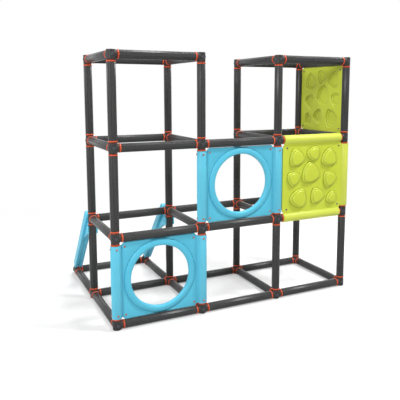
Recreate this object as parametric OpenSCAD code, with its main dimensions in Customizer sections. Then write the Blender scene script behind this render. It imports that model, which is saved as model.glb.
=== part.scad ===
// Climbing gym for toddlers: a frame of push-together tubes and connectors, two crawl-through panels,
// two climbing panels and a braced rear outrigger. Width along X, front towards -Y, +Z up.

/* [Frame grid] */
// Spacing of the connectors across the width
pitch_x = 400; // [360:5:460]
// Spacing of the connectors from front to back
pitch_y = 400; // [360:5:460]
// Spacing of the connectors in height
pitch_z = 380; // [360:5:460]

/* [Tubes] */
// Width of a tube over its rounded corners
tube_d = 38; // [34:0.5:42]
// Depth that each of the eight flats takes off the round tube
tube_flat_cut = 0.7; // [0.3:0.1:1.2]
// Wall of a tube
tube_wall = 2.5; // [2:0.25:4]

/* [Connectors] */
// Height of a connector's core over its arms
core_proud = 0.3; // [0.2:0.1:3]
// How much wider than the core the ball is that rounds it
core_ball_over = 5; // [4:0.5:20]
// Gap between a ring and the rings that stand across it
arm_clear = 1.5; // [1:0.25:12]
// Gap along the two arms that meet at a brace's foot
brace_arm_clear = 2; // [1:0.5:12]
// Depth to which a spigot goes into its tube
spigot_depth = 25; // [15:1:60]
// Gap around a spigot in its tube, ring or brace
spigot_gap = 0.3; // [0.2:0.05:0.6]
// Wall of a hollow spigot
spigot_wall = 3; // [2:0.25:5]
// Diameter of the raised dot on a bare face
dot_d = 12; // [6:1:20]
// Height of the raised dot
dot_h = 1; // [0.5:0.25:2]
// Diameter of the pad under a ground connector
pad_d = 26; // [16:1:30]
// Height of the rings' lowest points over the floor
ring_lift = 0.6; // [0.2:0.1:3]

/* [Locking rings] */
// Height of a ring over its tube
ring_proud = 1; // [0.5:0.25:4]
// Width of a ring along its tube
ring_w = 9; // [6:0.5:14]
// Width of a ring's low collar, beside the connector
collar_w = 4.8; // [1:0.1:5]
// Drop from a ring's raised band to its collar
collar_drop = 2; // [0.5:0.25:2.5]

/* [Panels] */
// Wall of the half-round wraps that hold the panels on the tubes
wrap_wall = 3; // [2:0.25:5]
// Gap between a wrap and its tube
wrap_gap = 0.4; // [0.3:0.05:1]
// Gap between a panel and the rings, tubes and panels beside it
panel_gap = 1; // [0.8:0.1:3]
// Size of the cut across a panel's corners
corner_cut = 16; // [16:1:30]

/* [Crawl panels] */
// Thickness of a crawl panel's field
crawl_t = 5; // [3:0.5:8]
// Margin of the rim from the edge of the field
rim_margin = 6; // [2:1:40]
// Width of the raised rim around the hole
rim_w = 28; // [16:1:34]
// Height of the rim over the field
rim_h = 9; // [6:1:16]
// Depth of the rim's collar behind the field
rim_back = 6; // [3:1:12]

/* [Climbing panels] */
// Thickness of a climbing panel's sheet
climb_t = 4; // [3:0.5:6]
// Distance of the sheet's back face in front of the tubes' centres
climb_forward = 5; // [2:0.5:8]
// Gap between the sheet's free edge and the wrap beside it
free_gap = 2.5; // [1:0.5:8]
// Height of a hold's lower step over the sheet
hold_step_h = 9; // [3:1:10]
// Height of a hold's top over its lower step
hold_top_h = 6; // [2:1:8]
// Width of the step around a hold's top
hold_step_w = 8; // [4:1:12]

/* [Screws] */
// Diameter of a screw's head
head_d = 9; // [7:0.5:12]
// Height of a screw's head
head_h = 2.2; // [1:0.1:4]
// Diameter of a screw's shank
shank_d = 4; // [3:0.5:5]
// Gap around a shank in its hole
shank_gap = 0.15; // [0.1:0.05:0.5]
// Length of a field screw's shank behind its sheet
field_screw_tail = 4.5; // [2:0.5:8]
// Width of the six-sided nut behind a field screw's sheet
nut_w = 8; // [6:0.5:10]
// Height of the nut
nut_h = 3; // [1.5:0.5:4]
// Distance of a field screw from the centre lines of the tubes beside it
field_screw_in = 40; // [36:1:60]
// Distance of a climbing panel's free-edge screws from the next post
free_screw_in = 50; // [36:1:70]
// Distance of a wrap's screw from the wrap's end
wrap_screw_in = 14; // [8:1:40]

/* [Braces] */
// Distance of a brace's head behind its post
head_back = 60; // [60:1:90]
// Height of a brace's head over its connector
head_up = 5; // [0:1:20]
// Width of a brace
brace_w = 42; // [40:1:46]
// Depth of a brace
brace_d = 40; // [38:1:44]
// Width of the groove along a brace
groove_w = 9; // [4:1:14]
// Depth of the groove
groove_d = 3; // [1:0.5:3]
// Height of the clip around the post
clip_h = 40; // [25:1:60]
// Wall of the clip
clip_wall = 7; // [4:0.5:10]
// Opening angle of the clip's mouth
clip_mouth = 120; // [90:5:150]
// Thickness of the web between a brace and its clip
web_t = 18; // [10:1:30]
// Height of the web where it meets the brace
web_drop = 70; // [40:5:120]

/* [Hidden] */
$fn = 64;

// Counts of the grid: columns across, rows from front to back, levels in height
last_column = 3;
back_row = 1;
rear_row = 2;
top_level = 3;
brace_columns = [0, 1];
octagon = 8;
nut_sides = 6;

tube_flats = tube_d - 2 * tube_flat_cut;
tube_bore = tube_flats - 2 * tube_wall;
spigot_d = tube_bore - 2 * spigot_gap;
ring_d = tube_d + 2 * ring_proud;
core_w = tube_d + 2 * core_proud;
core_ball_d = core_w + core_ball_over;
// Turn of the ball, which sets the seam of its surface between two arms
ball_turn = 45;
// Where the arms start inside the core, which is wider than they are there
arm_root = sqrt(core_ball_d ^ 2 - core_w ^ 2) / 2;
arm_len = ring_d / 2 + arm_clear;
tube_start = arm_len + ring_w;

// Height of the ground connectors' centres, which stand on their pads
foot_h = ring_d / 2 + ring_lift;

// Length by which a cut passes the faces that it goes through
cut_over = 1;

// Overlap of the pieces that make up one moulding, less than the core stands over its arms
joint_lap = core_proud / 2;

wrap_in_r = tube_d / 2 + wrap_gap;
wrap_r = wrap_in_r + wrap_wall;
wrap_start = tube_start + panel_gap;
wrap_screw_at = wrap_start + wrap_screw_in;
field_edge = tube_d / 2 + panel_gap;
wrap_joint = wrap_in_r + wrap_wall / 3;
crawl_hole_d = min(pitch_x, pitch_z) - 2 * (field_edge + rim_margin + rim_w);
hold_h = hold_step_h + hold_top_h;

brace_run = pitch_y - head_back;
brace_rise = pitch_z + head_up;
brace_angle = atan2(brace_rise, brace_run);
brace_len = norm([brace_run, brace_rise]);
brace_arm_len = ring_d / 2 / tan(brace_angle / 2) + brace_arm_clear;
brace_start = brace_arm_len + ring_w;
clip_r = wrap_in_r + clip_wall;
clip_top = tube_start + panel_gap + wrap_wall;

// The outermost pieces on each side, so that the origin is below the middle of the gym
front_reach = wrap_r + head_h;
back_reach = ring_d / 2;
left_reach = max(wrap_r + head_h, clip_r);
right_reach = max(wrap_r, climb_forward + climb_t + max(hold_h, head_h));
shift_x = (left_reach - right_reach) / 2;
shift_y = (front_reach - back_reach) / 2;

// Cells as [column, level] that hold the crawl panels, and the two that hold climbing panels
lower_crawl_cell = [0, 0];
upper_crawl_cell = [1, 1];
crawl_cells = [lower_crawl_cell, upper_crawl_cell];
front_climb_cell = [2, 1];
side_climb_level = 2;

// Holds on a climbing panel: [across, up, half width, turn]
HOLDS = [
    [-95, 100, 40, 10], [5, 118, 34, 70], [100, 92, 42, 35],
    [-112, 0, 34, 95], [-12, 20, 48, 20], [105, -15, 37, 110],
    [-80, -100, 44, 60], [30, -95, 37, 5], [120, -112, 30, 45]
];
// How far the three arcs of a hold are centred from its middle, as a share of its half width
hold_bulge = 0.8;

orange = "orangered";
charcoal = [0.24, 0.24, 0.25];
hub_grey = [0.27, 0.27, 0.28];
sky = [0.33, 0.72, 0.84];
lime = [0.76, 0.82, 0.27];

DIRECTIONS = [[1, 0, 0], [-1, 0, 0], [0, 1, 0], [0, -1, 0], [0, 0, 1], [0, 0, -1]];

// Grid
function grid_x(i) = (i - last_column / 2) * pitch_x + shift_x;
function grid_y(j) = (j - back_row) * pitch_y + shift_y;
function grid_z(k) = foot_h + k * pitch_z;
function grid(i, j, k) = [grid_x(i), grid_y(j), grid_z(k)];

// Which tubes the gym has, each named by the connector that it starts from
function is_post(i, j, k) = j <= back_row && k >= 0 && k < top_level;
function is_beam(i, j, k) =
    i >= 0 && i < last_column
    && (k == 0 ? j <= back_row || i == 0
        : j <= back_row && (k == 1 || i != 1 || (k == 2 && j == 0)));
function is_cross(i, j, k) = j == 0 || (j == back_row && k == 0 && i <= 1);
function is_connector(i, j) = j <= back_row || i <= 1;
function has_arm(i, j, k, d) =
    d.x > 0 ? is_beam(i, j, k)
    : d.x < 0 ? is_beam(i - 1, j, k)
    : d.y > 0 ? is_cross(i, j, k)
    : d.y < 0 ? is_cross(i, j - 1, k)
    : d.z > 0 ? is_post(i, j, k)
    : is_post(i, j, k - 1);
function arm_of(j, d) = j == rear_row && d.y < 0 ? brace_arm_len : arm_len;

// Turns +Z onto one of the six directions
module towards(d) {
    turn = d.z != 0 ? [d.z > 0 ? 0 : 180, 0, 0] : d.x != 0 ? [0, 90 * d.x, 0] : [-90 * d.y, 0, 0];
    rotate(turn) children();
}

// Turns +Z up along a brace, which leans forward from the rear row
module along_brace() {
    rotate([90 - brace_angle, 0, 0]) children();
}

// Tubes
module tube(len) {
    difference() {
        intersection() {
            cylinder(d = tube_d, h = len);
            rotate([0, 0, 180 / octagon])
                cylinder(d = tube_flats / cos(180 / octagon), h = len, $fn = octagon);
        }
        translate([0, 0, -cut_over]) cylinder(d = tube_bore, h = len + 2 * cut_over);
    }
}

// Places a wrap's screws or their holes: one in front and one on the outer side, near both ends
module at_wrap_screws(i, k, side) {
    for (level = [grid_z(k) + wrap_screw_at, grid_z(k + 1) - wrap_screw_at])
        translate([grid_x(i), grid_y(0), level])
            for (d = [[0, -1, 0], [side, 0, 0]])
                towards(d) children();
}

module shank_hole() {
    cylinder(d = shank_d + 2 * shank_gap, h = wrap_r + cut_over);
}

module post(i, j) {
    color(charcoal)
        difference() {
            for (k = [0 : top_level - 1])
                translate(grid(i, j, k) + [0, 0, tube_start]) tube(pitch_z - 2 * tube_start);
            if (j == 0)
                for (cell = crawl_cells, side = [-1, 1])
                    if (i == cell[0] + (side + 1) / 2)
                        at_wrap_screws(i, cell[1], side) shank_hole();
        }
}

module beam(j, k) {
    color(charcoal)
        for (i = [0 : last_column - 1])
            if (is_beam(i, j, k))
                translate(grid(i, j, k) + [tube_start, 0, 0])
                    rotate([0, 90, 0]) tube(pitch_x - 2 * tube_start);
}

module cross_tubes(k) {
    color(charcoal)
        for (i = [0 : last_column], j = [0 : back_row])
            if (is_cross(i, j, k)) {
                far_start = j == back_row ? brace_start : tube_start;
                translate(grid(i, j, k) + [0, tube_start, 0])
                    rotate([-90, 0, 0]) tube(pitch_y - tube_start - far_start);
            }
}

// Connectors
module arm(start, len) {
    translate([0, 0, start]) cylinder(d = tube_d, h = len - start);
    translate([0, 0, len - joint_lap]) cylinder(d = spigot_d, h = joint_lap + ring_w + spigot_depth);
}

module spigot_bore(len) {
    translate([0, 0, len]) cylinder(d = spigot_d - 2 * spigot_wall, h = ring_w + spigot_depth + cut_over);
}

module connector(i, j, k) {
    braced = j == rear_row;
    translate(grid(i, j, k))
        difference() {
            union() {
                intersection() {
                    cube(core_w, center = true);
                    rotate([0, 0, ball_turn]) sphere(d = core_ball_d);
                }
                for (d = DIRECTIONS)
                    if (has_arm(i, j, k, d))
                        towards(d) arm(arm_root, arm_of(j, d));
                    else if (k == 0 && d.z < 0)
                        towards(d) cylinder(d = pad_d, h = foot_h);
                    else if (!(braced && d.z > 0))
                        towards(d) cylinder(d = dot_d, h = core_w / 2 + dot_h);
                if (braced)
                    along_brace() arm(0, brace_arm_len);
            }
            for (d = DIRECTIONS)
                if (has_arm(i, j, k, d))
                    towards(d) spigot_bore(arm_of(j, d));
            if (braced)
                along_brace() spigot_bore(brace_arm_len);
        }
}

module connectors(k, rows) {
    color(hub_grey)
        for (j = rows, i = [0 : last_column])
            if (is_connector(i, j))
                connector(i, j, k);
}

// Locking rings
module ring() {
    difference() {
        union() {
            cylinder(d = ring_d - 2 * collar_drop, h = ring_w);
            translate([0, 0, collar_w]) cylinder(d = ring_d, h = ring_w - collar_w);
        }
        translate([0, 0, -cut_over]) cylinder(d = spigot_d + 2 * spigot_gap, h = ring_w + 2 * cut_over);
    }
}

// Rings on every tube end that lies along the given axis, 0 for X, 1 for Y and 2 for Z
module rings(axis) {
    color(orange)
        for (k = [0 : top_level], j = [0 : k == 0 ? rear_row : back_row], i = [0 : last_column])
            if (is_connector(i, j))
                for (d = DIRECTIONS)
                    if (d[axis] != 0 && has_arm(i, j, k, d))
                        translate(grid(i, j, k)) towards(d) translate([0, 0, arm_of(j, d)]) ring();
}

module brace_rings() {
    color(orange)
        for (i = brace_columns)
            translate(grid(i, rear_row, 0)) along_brace() translate([0, 0, brace_arm_len]) ring();
}

// Panels are drawn around the middle of their cell, facing -Y
module half_wrap(len) {
    difference() {
        cylinder(r = wrap_r, h = len, center = true);
        cylinder(r = wrap_in_r, h = len + 2 * cut_over, center = true);
        translate([0, wrap_r, 0]) cube([4 * wrap_r, 2 * wrap_r, len + 2 * cut_over], center = true);
    }
}

// Sheet between two edges across and up to one edge above and below, with cut corners
module field(left, right, up, back, thickness) {
    translate([0, back, 0])
        rotate([90, 0, 0])
            linear_extrude(thickness)
                polygon([
                    [left + corner_cut, -up], [right - corner_cut, -up],
                    [right, -up + corner_cut], [right, up - corner_cut],
                    [right - corner_cut, up], [left + corner_cut, up],
                    [left, up - corner_cut], [left, -up + corner_cut]
                ]);
}

// Half-round bead that stands around the hole, with a collar behind the field
module crawl_rim() {
    bead_r = (rim_w * rim_w / 4 + rim_h * rim_h) / (2 * rim_h);
    bead_at = crawl_hole_d / 2 + rim_w / 2;
    translate([0, -crawl_t / 2, 0])
        rotate([90, 0, 0])
            rotate_extrude()
                intersection() {
                    translate([bead_at, rim_h - bead_r]) circle(r = bead_r);
                    translate([crawl_hole_d / 2, -crawl_t / 2]) square([rim_w, crawl_t + rim_h]);
                }
    rotate([-90, 0, 0]) cylinder(d = crawl_hole_d + rim_w, h = crawl_t / 2 + rim_back);
}

module at_crawl_screws() {
    for (x = [-1, 1], z = [-1, 1])
        translate([x * (pitch_x / 2 - field_screw_in), 0, z * (pitch_z / 2 - field_screw_in)])
            children();
}

module crawl_panel(cell) {
    middle = grid(cell[0], 0, cell[1]) + [pitch_x, 0, pitch_z] / 2;
    side = pitch_x / 2 - wrap_joint;
    color(sky)
        difference() {
            translate(middle)
                difference() {
                    union() {
                        field(-side, side, pitch_z / 2 - field_edge, crawl_t / 2, crawl_t);
                        for (x = [-1, 1])
                            translate([x * pitch_x / 2, 0, 0]) half_wrap(pitch_z - 2 * wrap_start);
                        crawl_rim();
                    }
                    rotate([90, 0, 0])
                        cylinder(d = crawl_hole_d, h = 4 * (rim_h + rim_back), center = true);
                    at_crawl_screws()
                        rotate([90, 0, 0])
                            cylinder(d = shank_d + 2 * shank_gap, h = 2 * crawl_t, center = true);
                }
            for (side = [-1, 1])
                at_wrap_screws(cell[0] + (side + 1) / 2, cell[1], side) shank_hole();
        }
}

// One screw, whose head rests on z = 0 with its shank towards -Z
module screw(len) {
    cylinder(d = head_d, h = head_h);
    translate([0, 0, -len]) cylinder(d = shank_d, h = len);
}

// A screw through a sheet of the given thickness, with its nut behind the sheet
module bolted_screw(thickness) {
    screw(thickness + field_screw_tail);
    translate([0, 0, -thickness - nut_h]) cylinder(d = nut_w / cos(180 / nut_sides), h = nut_h, $fn = nut_sides);
}

module crawl_screws(cell) {
    wrap_screw_len = wrap_r - tube_bore / 2;
    color(orange) {
        translate(grid(cell[0], 0, cell[1]) + [pitch_x, 0, pitch_z] / 2)
            at_crawl_screws()
                translate([0, -crawl_t / 2, 0]) rotate([90, 0, 0]) bolted_screw(crawl_t);
        for (side = [-1, 1])
            at_wrap_screws(cell[0] + (side + 1) / 2, cell[1], side)
                translate([0, 0, wrap_r]) screw(wrap_screw_len);
    }
}

module hold(half_w, height) {
    arc_r = (1 + hold_bulge) * half_w;
    intersection_for (turn = [0, 120, 240])
        rotate([0, 0, turn]) translate([hold_bulge * half_w, 0, 0]) cylinder(r = arc_r, h = height);
}

module holds() {
    for (h = HOLDS)
        translate([h[0], -climb_forward - climb_t / 2, h[1]])
            rotate([90, h[3], 0]) {
                hold(h[2], climb_t / 2 + hold_step_h);
                hold(h[2] - hold_step_w, climb_t / 2 + hold_h);
            }
}

module at_climb_screws(width) {
    for (x = [free_screw_in - width / 2, width / 2 - field_screw_in], z = [-1, 1])
        translate([x, -climb_forward - climb_t, z * (pitch_z / 2 - field_screw_in)])
            rotate([90, 0, 0]) children();
}

// Sheet with holds whose upper, lower and right edges wrap their tubes
module climbing_panel(width) {
    left = wrap_r + free_gap - width / 2;
    right = width / 2 - wrap_joint;
    color(lime)
        difference() {
            union() {
                field(left, right, pitch_z / 2 - wrap_joint, -climb_forward, climb_t);
                translate([width / 2, 0, 0]) half_wrap(pitch_z - 2 * wrap_start);
                for (z = [-1, 1])
                    translate([0, 0, z * pitch_z / 2])
                        rotate([0, 90, 0]) half_wrap(width - 2 * wrap_start);
                holds();
            }
            at_climb_screws(width)
                cylinder(d = shank_d + 2 * shank_gap, h = 3 * climb_t, center = true);
        }
}

module climbing_screws(width) {
    color("dimgray") at_climb_screws(width) bolted_screw(climb_t);
}

module in_front_climb_cell() {
    translate(grid(front_climb_cell[0], 0, front_climb_cell[1]) + [pitch_x, 0, pitch_z] / 2)
        children();
}

module in_side_climb_cell() {
    translate(grid(last_column, 0, side_climb_level) + [0, pitch_y, pitch_z] / 2)
        rotate([0, 0, 90]) children();
}

// Braces
module brace_bar() {
    difference() {
        union() {
            translate([-brace_w / 2, -brace_d / 2, brace_start])
                cube([brace_w, brace_d, brace_len - brace_start]);
            translate([0, 0, brace_len])
                rotate([0, 90, 0]) cylinder(d = brace_d, h = brace_w, center = true);
        }
        cylinder(d = spigot_d + 2 * spigot_gap, h = brace_start + spigot_depth + spigot_gap);
        translate([-groove_w / 2, -brace_d / 2 - cut_over, brace_start - cut_over])
            cube([groove_w, groove_d + cut_over, brace_len]);
    }
}

// Clip around the post, open towards the front
module brace_clip() {
    mouth = 2 * clip_r;
    translate([0, 0, -clip_top - clip_h])
        difference() {
            cylinder(r = clip_r, h = clip_h);
            translate([0, 0, -cut_over]) cylinder(r = wrap_in_r, h = clip_h + 2 * cut_over);
            translate([0, 0, -cut_over])
                linear_extrude(clip_h + 2 * cut_over)
                    polygon([[0, 0], [-mouth * tan(clip_mouth / 2), -mouth], [mouth * tan(clip_mouth / 2), -mouth]]);
        }
}

// Web that carries the clip, seen from the side around the upper connector
module brace_web() {
    start = clip_r - clip_wall / 2;
    inner = head_back - brace_d / 2 * sin(brace_angle);
    upper = inner + (clip_top + head_up) / tan(brace_angle);
    lower = inner + (clip_top + clip_h + web_drop + head_up) / tan(brace_angle);
    translate([-web_t / 2, 0, 0])
        rotate([90, 0, 90])
            linear_extrude(web_t)
                polygon([
                    [start, -clip_top], [upper, -clip_top],
                    [lower, -clip_top - clip_h - web_drop], [start, -clip_top - clip_h]
                ]);
}

module brace(i) {
    color(sky) {
        translate(grid(i, rear_row, 0)) along_brace() brace_bar();
        translate(grid(i, back_row, 1)) {
            brace_clip();
            brace_web();
        }
    }
}

post(0, 0);  // front_post_1
post(1, 0);  // front_post_2
post(2, 0);  // front_post_3
post(3, 0);  // front_post_4
post(0, back_row);  // back_post_1
post(1, back_row);  // back_post_2
post(2, back_row);  // back_post_3
post(3, back_row);  // back_post_4
beam(0, 0);  // ground_beam_front
beam(back_row, 0);  // ground_beam_back
beam(rear_row, 0);  // ground_beam_rear
beam(0, 1);  // lower_beam_front
beam(back_row, 1);  // lower_beam_back
beam(0, 2);  // upper_beam_front
beam(back_row, 2);  // upper_beam_back
beam(0, top_level);  // top_beam_front
beam(back_row, top_level);  // top_beam_back
cross_tubes(0);  // ground_cross_tubes
cross_tubes(1);  // lower_cross_tubes
cross_tubes(2);  // upper_cross_tubes
cross_tubes(top_level);  // top_cross_tubes
connectors(0, [0, back_row]);  // ground_connectors
connectors(0, [rear_row]);  // brace_foot_connectors
connectors(1, [0, back_row]);  // lower_connectors
connectors(2, [0, back_row]);  // upper_connectors
connectors(top_level, [0, back_row]);  // top_connectors
rings(2);  // post_rings
rings(0);  // beam_rings
rings(1);  // cross_rings
brace_rings();
crawl_panel(lower_crawl_cell);  // lower_crawl_panel
crawl_panel(upper_crawl_cell);  // upper_crawl_panel
in_front_climb_cell() climbing_panel(pitch_x);  // front_climbing_panel
in_side_climb_cell() climbing_panel(pitch_y);  // side_climbing_panel
crawl_screws(lower_crawl_cell);  // lower_crawl_screws
crawl_screws(upper_crawl_cell);  // upper_crawl_screws
in_front_climb_cell() climbing_screws(pitch_x);  // front_climbing_screws
in_side_climb_cell() climbing_screws(pitch_y);  // side_climbing_screws
brace(brace_columns[0]);  // left_brace
brace(brace_columns[1]);  // right_brace
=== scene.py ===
"""Toddler climbing gym: charcoal tubes on moulded connectors with orange locking rings, two blue crawl
panels, two green climbing panels and a pair of blue braces behind the left tower. The gym is drawn in
millimetres, and each piece is scaled to metres as its mesh is made."""

import math

import bmesh
import bpy
import numpy as np
from mathutils import Matrix, Vector


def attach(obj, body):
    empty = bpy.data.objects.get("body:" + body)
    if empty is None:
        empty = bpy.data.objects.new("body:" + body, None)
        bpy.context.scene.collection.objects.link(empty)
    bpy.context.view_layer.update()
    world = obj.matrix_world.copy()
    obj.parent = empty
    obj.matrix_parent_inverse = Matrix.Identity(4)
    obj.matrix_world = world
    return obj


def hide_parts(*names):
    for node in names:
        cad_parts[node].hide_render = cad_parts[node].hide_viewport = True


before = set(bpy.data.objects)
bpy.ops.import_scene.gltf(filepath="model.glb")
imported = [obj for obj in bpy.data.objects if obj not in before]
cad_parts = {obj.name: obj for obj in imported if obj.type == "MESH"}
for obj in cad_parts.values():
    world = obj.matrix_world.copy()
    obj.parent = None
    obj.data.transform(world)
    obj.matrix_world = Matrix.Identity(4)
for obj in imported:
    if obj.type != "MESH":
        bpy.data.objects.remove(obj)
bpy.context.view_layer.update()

MM = 0.001

# Frame grid
PITCH_X, PITCH_Y, PITCH_Z = 400.0, 400.0, 380.0
SHIFT_X, SHIFT_Y = 1.2, 2.3
LAST_COLUMN, BACK_ROW, REAR_ROW, TOP_LEVEL = 3, 1, 2, 3
LEVELS = (("ground", 0), ("lower", 1), ("upper", 2), ("top", TOP_LEVEL))
DIRECTIONS = [Vector(d) for d in ((1, 0, 0), (-1, 0, 0), (0, 1, 0), (0, -1, 0), (0, 0, 1), (0, 0, -1))]

# Tubes, connectors and rings
TUBE_R, TUBE_FLAT_R, TUBE_BORE_R = 19.0, 18.3, 15.8
TUBE_CHAMFER, TUBE_CHAMFER_BEND, TUBE_FLATS = 0.9, 0.35, 8
TUBE_GROOVE_TURN, TUBE_GROOVE_D = 5.0, 1.4
CORE_HALF = 19.3
ARM_LEN, RING_W = 21.5, 9.0
RING_R, COLLAR_W, COLLAR_DROP = 20.0, 4.8, 2.0
RING_SIDES = 44
TUBE_START = ARM_LEN + RING_W
SPIGOT_R, SPIGOT_WALL, SPIGOT_DEPTH, SPIGOT_ROOT = 15.5, 3.0, 25.0, 2.0
DOT_R, DOT_H, DOT_ROOT = 6.0, 1.0, 1.5
PAD_R, FOOT_H = 13.0, 20.6

# Braces
HEAD_BACK, HEAD_UP = 60.0, 5.0
BRACE_RUN, BRACE_RISE = PITCH_Y - HEAD_BACK, PITCH_Z + HEAD_UP
BRACE_ANGLE = math.atan2(BRACE_RISE, BRACE_RUN)
BRACE_LEN = math.hypot(BRACE_RUN, BRACE_RISE)
BRACE_CLEAR = 2.0
BRACE_ARM_LEN = RING_R / math.tan(BRACE_ANGLE / 2) + BRACE_CLEAR
BRACE_START = BRACE_ARM_LEN + RING_W
BRACE_W, BRACE_D = 42.0, 40.0
BRACE_CORNER_R = 5.0
GROOVE_W, GROOVE_D = 9.0, 3.0
BRACE_COLUMNS = (0, 1)
CLIP_R, CLIP_H, CLIP_TOP, CLIP_MOUTH = 26.4, 40.0, TUBE_START + 4.0, 120.0
CLIP_BEVEL, CLIP_EASE = 3.0, 1.5
WEB_T, WEB_DROP, WEB_OVERLAP = 18.0, 70.0, 3.5
WEB_CORNER_R, WEB_EASE = 3.0, 2.0

# Panels
WRAP_IN_R, WRAP_R = 19.4, 22.4
WRAP_START = TUBE_START + 1.0
WRAP_FILLET, WRAP_SUNK, WRAP_TAIL_IN = 3.5, 0.25, 1.0
PANEL_EASE = 0.8
CORNER_CUT, CORNER_R, EDGE_SPACING = 16.0, 7.0, 14.0
FIELD_EDGE, WRAP_JOINT = 20.0, 20.4
CRAWL_T, CRAWL_TAIL = 5.0, 34.0
HOLE_R, RIM_W, RIM_H, RIM_BACK = 136.0, 28.0, 9.0, 6.0
RIM_LEAN, RIM_CROWN, RIM_CREASE_W = 0.7, 0.42, 2.6
RIM_FLANK, RIM_LOOPS = 0.08, 17
CLIMB_T, CLIMB_TAIL, CLIMB_FORWARD, FREE_GAP = 4.0, 32.0, 5.0, 2.5
STEP_H, TOP_H, STEP_W = 9.0, 6.0, 8.0

# Screws
HEAD_R, HEAD_H, SHANK_R = 4.5, 2.2, 2.0
FIELD_SCREW_IN, FREE_SCREW_IN = 40.0, 50.0
WRAP_SCREW_AT = WRAP_START + 14.0
FIELD_SCREW_TAIL = 4.5
NUT_W, NUT_H, NUT_SIDES = 8.0, 3.0, 6
RECESS_HALF, RECESS_REACH, RECESS_D, RECESS_TAPER = 0.55, 2.2, 1.3, 0.8

# Holds of a climbing panel: across, up, half width, turn in degrees
HOLDS = [
    (-95, 100, 40, 10), (5, 118, 34, 70), (100, 92, 42, 35),
    (-112, 0, 34, 95), (-12, 20, 48, 20), (105, -15, 37, 110),
    (-80, -100, 44, 60), (30, -95, 37, 5), (120, -112, 30, 45),
]
HOLD_BULGE, HOLD_BLEND = 0.8, 2.2


def grid(i, j, k):
    """Centre of a connector, by its column, row and level."""
    x = (i - LAST_COLUMN / 2) * PITCH_X + SHIFT_X
    y = (j - BACK_ROW) * PITCH_Y + SHIFT_Y
    return Vector((x, y, FOOT_H + k * PITCH_Z))


def is_post(k):
    return 0 <= k < TOP_LEVEL


def is_beam(i, j, k):
    if not 0 <= i < LAST_COLUMN:
        return False
    if k == 0:
        return j <= BACK_ROW or i == 0
    return j <= BACK_ROW and (k == 1 or i != 1 or (k == 2 and j == 0))


def is_cross(i, j, k):
    return j == 0 or (j == BACK_ROW and k == 0 and i <= 1)


def has_arm(i, j, k, d):
    """Whether a connector has a tube in this direction."""
    if d.x:
        return is_beam(i if d.x > 0 else i - 1, j, k)
    if d.y:
        return is_cross(i, j if d.y > 0 else j - 1, k)
    return j <= BACK_ROW and is_post(k if d.z > 0 else k - 1)


def arm_length(j, d):
    return BRACE_ARM_LEN if j == REAR_ROW and d.y < 0 else ARM_LEN


def connectors_of(k, rows):
    return [(i, j, k) for j in rows for i in range(LAST_COLUMN + 1) if j <= BACK_ROW or i <= 1]


def towards(d):
    """Turns +Z onto a direction."""
    return Vector(d).to_track_quat("Z", "Y").to_matrix().to_4x4()


def along_brace():
    """Turns +Z up along a brace, which leans forward from the rear row."""
    return Matrix.Rotation(math.pi / 2 - BRACE_ANGLE, 4, "X")


# Meshes
class Moulding:
    """Points and faces of one piece. Each point has a surface coordinate: round, along and part number."""

    def __init__(self):
        self.points, self.faces, self.runs, self.parts = [], [], [], 0

    def add(self, points, faces, place=Matrix(), runs=None):
        first = len(self.points)
        self.parts += 1
        self.points += [place @ Vector(p) for p in points]
        self.faces += [[first + n for n in f] for f in faces]
        self.runs += [(*r, self.parts) for r in (runs or [(p[0], p[1]) for p in points])]

    def mesh(self, name, sharp=40):
        made = bpy.data.meshes.new(name)
        made.from_pydata([p * MM for p in self.points], [], self.faces)
        run = made.attributes.new("run", "FLOAT_VECTOR", "POINT")
        run.data.foreach_set("vector", np.array(self.runs, np.float32).ravel())
        made.shade_smooth()
        made.set_sharp_from_angle(angle=math.radians(sharp))
        return made


def strips(loops, count, joined=False, capped=False):
    """Faces between loops of points that follow each other, joined last to first or capped at the ends."""
    faces = []
    for n in range(loops if joined else loops - 1):
        here, there = n * count, (n + 1) % loops * count
        for m in range(count):
            after = (m + 1) % count
            faces.append((here + m, here + after, there + after, there + m))
    if capped:
        faces.append(tuple(reversed(range(count))))
        faces.append(tuple(range((loops - 1) * count, loops * count)))
    return faces


def lathed(profile, segments):
    """Points of a profile of (radius, height) turned about Z."""
    angles = [2 * math.pi * s / segments for s in range(segments)]
    return [(r * math.cos(a), r * math.sin(a), z) for r, z in profile for a in angles]


def turned(profile, segments):
    """A closed profile turned about Z."""
    return lathed(profile, segments), strips(len(profile), segments, joined=True)


def domed(profile, segments):
    """An open profile turned about Z, capped at both ends."""
    return lathed(profile, segments), strips(len(profile), segments, capped=True)


def arc(centre, radius, start, end, steps):
    """Points of an arc in a plane, angles in degrees."""
    return [
        (centre[0] + radius * math.cos(math.radians(a)), centre[1] + radius * math.sin(math.radians(a)))
        for a in np.linspace(start, end, steps + 1)
    ]


def rounded(corners, radius, steps=4):
    """A polygon's outline with rounded corners. A corner may give its own radius as a third number."""
    outline = []
    for n, corner in enumerate(corners):
        here = Vector(corner[:2])
        before = (Vector(corners[n - 1][:2]) - here).normalized()
        after = (Vector(corners[(n + 1) % len(corners)][:2]) - here).normalized()
        r = corner[2] if len(corner) > 2 else radius
        half = before.angle(after) / 2
        centre = here + (before + after).normalized() * (r / math.sin(half))
        start = here + before * (r / math.tan(half)) - centre
        turn = math.pi - 2 * half
        side = 1 if before.x * after.y - before.y * after.x < 0 else -1
        for s in range(steps + 1):
            outline.append(tuple(centre + Matrix.Rotation(side * turn * s / steps, 2) @ start))
    return outline


SOFT_SHARE = 0.3


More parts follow.
